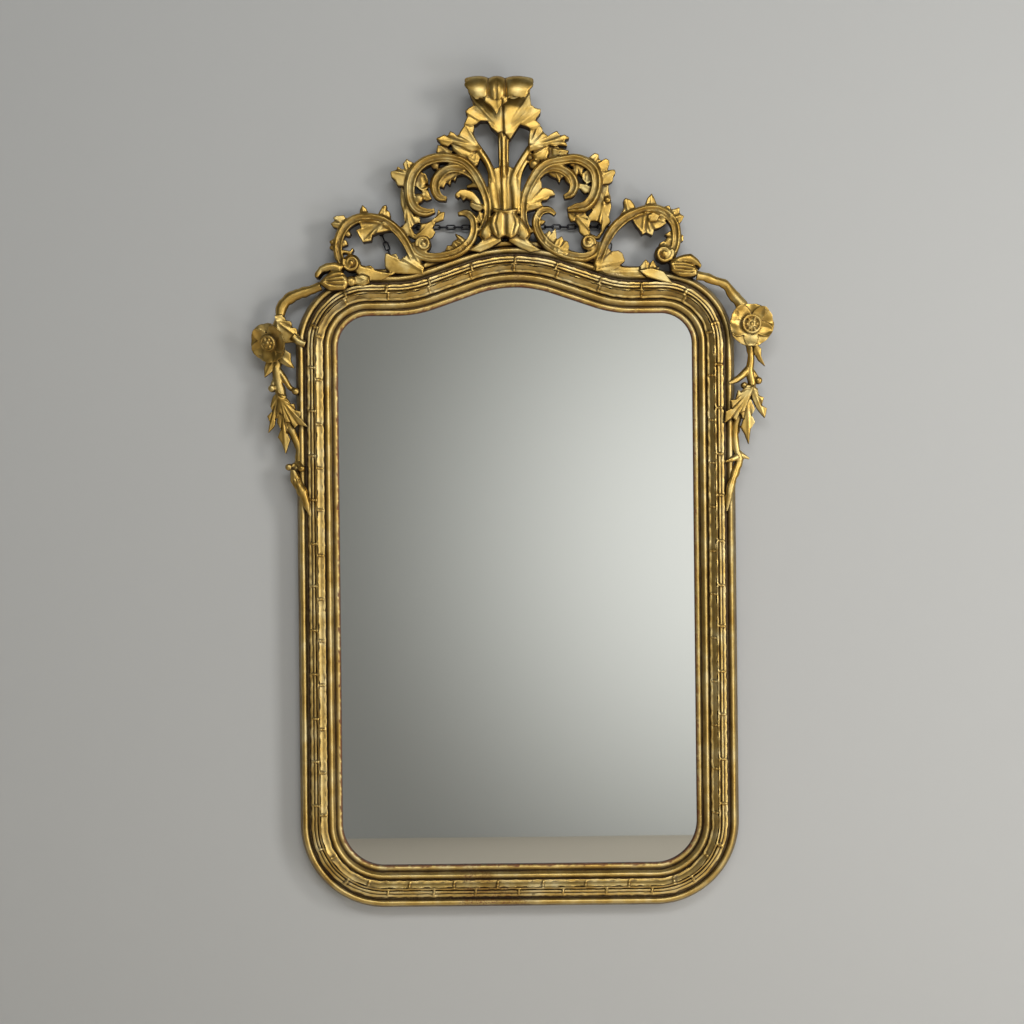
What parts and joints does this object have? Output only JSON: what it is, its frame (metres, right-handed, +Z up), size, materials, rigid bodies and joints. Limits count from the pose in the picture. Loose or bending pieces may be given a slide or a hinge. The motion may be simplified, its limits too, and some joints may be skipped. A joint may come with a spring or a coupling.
{
  "type": "wall mirror",
  "caption": "Tall wall mirror in a carved and gilded wooden frame with an arched top, an openwork crest of scrolls and leaves, and a flowering spray on each side.",
  "frame": {"origin": "on the flat back of the frame's top rail, at mid-width under the crown of the arch, where the frame lies against the wall", "axes": "+Z up, +X to the right seen from the front, +Y into the wall, so the glass faces -Y"},
  "size_m": [1.0337, 0.09, 1.6363],
  "materials": {
    "water_gilding": "old burnished gold leaf on red bole and gesso",
    "carved_gilding": "old burnished gold leaf on carved wood, dark in the hollows",
    "old_silvering": "silvered plate glass",
    "old_pine": "plain sawn boards, darkened with age",
    "dark_steel": "dull grey steel wire"
  },
  "bodies": {
    "root": {"frame": "water_gilding", "mirror_glass": "old_silvering", "backboard": "old_pine", "crest": "carved_gilding", "left_spray": "carved_gilding", "right_spray": "carved_gilding", "hanging_chain": "dark_steel", "left_screw_eye": "dark_steel", "right_screw_eye": "dark_steel"}
  },
  "joints": []
}
